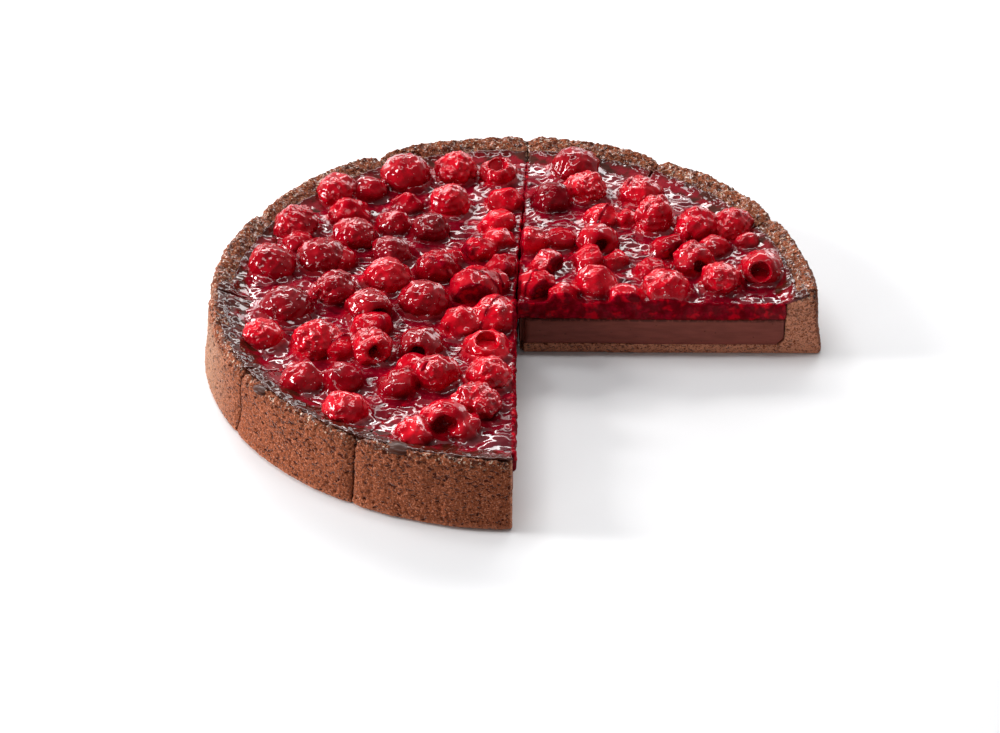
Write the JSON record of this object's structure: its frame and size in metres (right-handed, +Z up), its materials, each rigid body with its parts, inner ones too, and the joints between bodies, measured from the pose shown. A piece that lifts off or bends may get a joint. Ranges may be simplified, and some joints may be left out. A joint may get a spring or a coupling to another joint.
{
  "type": "fruit tart",
  "caption": "Round cocoa tart with chocolate ganache and glazed raspberries, hand-cut into slices, with a quarter of it already taken out. Stands on its flat base.",
  "frame": {"origin": "middle of the tart's round outline, on the surface that it stands on", "axes": "+Z up; the missing quarter lies between +X and -Y, and -Y is the side towards the viewer"},
  "size_m": [0.2647, 0.2646, 0.0378],
  "materials": {
    "pastry": "baked, porous, matt",
    "ganache": "smooth, satin",
    "jelly": "wet gloss",
    "fruit": "glazed, wet gloss"
  },
  "bodies": {
    "root": {"slice_1_crust": "pastry", "slice_1_ganache": "ganache", "slice_1_topping": "jelly", "slice_2_crust": "pastry", "slice_2_ganache": "ganache", "slice_2_topping": "jelly", "slice_3_crust": "pastry", "slice_3_ganache": "ganache", "slice_3_topping": "jelly", "slice_4_crust": "pastry", "slice_4_ganache": "ganache", "slice_4_topping": "jelly", "slice_5_crust": "pastry", "slice_5_ganache": "ganache", "slice_5_topping": "jelly", "slice_6_crust": "pastry", "slice_6_ganache": "ganache", "slice_6_topping": "jelly", "slice_7_crust": "pastry", "slice_7_ganache": "ganache", "slice_7_topping": "jelly", "slice_8_crust": "pastry", "slice_8_ganache": "ganache", "slice_8_topping": "jelly", "slice_9_crust": "pastry", "slice_9_ganache": "ganache", "slice_9_topping": "jelly", "raspberry_01": "fruit", "raspberry_02": "fruit", "raspberry_03": "fruit", "raspberry_04": "fruit", "raspberry_05": "fruit", "raspberry_06": "fruit", "raspberry_07": "fruit", "raspberry_08": "fruit", "raspberry_09": "fruit", "raspberry_10": "fruit", "raspberry_11": "fruit", "raspberry_12": "fruit", "raspberry_13": "fruit", "raspberry_14": "fruit", "raspberry_15": "fruit", "raspberry_16": "fruit", "raspberry_17": "fruit", "raspberry_18": "fruit", "raspberry_19": "fruit", "raspberry_20": "fruit", "raspberry_21": "fruit", "raspberry_22": "fruit", "raspberry_23": "fruit", "raspberry_24": "fruit", "raspberry_25": "fruit", "raspberry_26": "fruit", "raspberry_27": "fruit", "raspberry_28": "fruit", "raspberry_29": "fruit", "raspberry_30": "fruit", "raspberry_31": "fruit", "raspberry_32": "fruit", "raspberry_33": "fruit"}
  },
  "joints": []
}
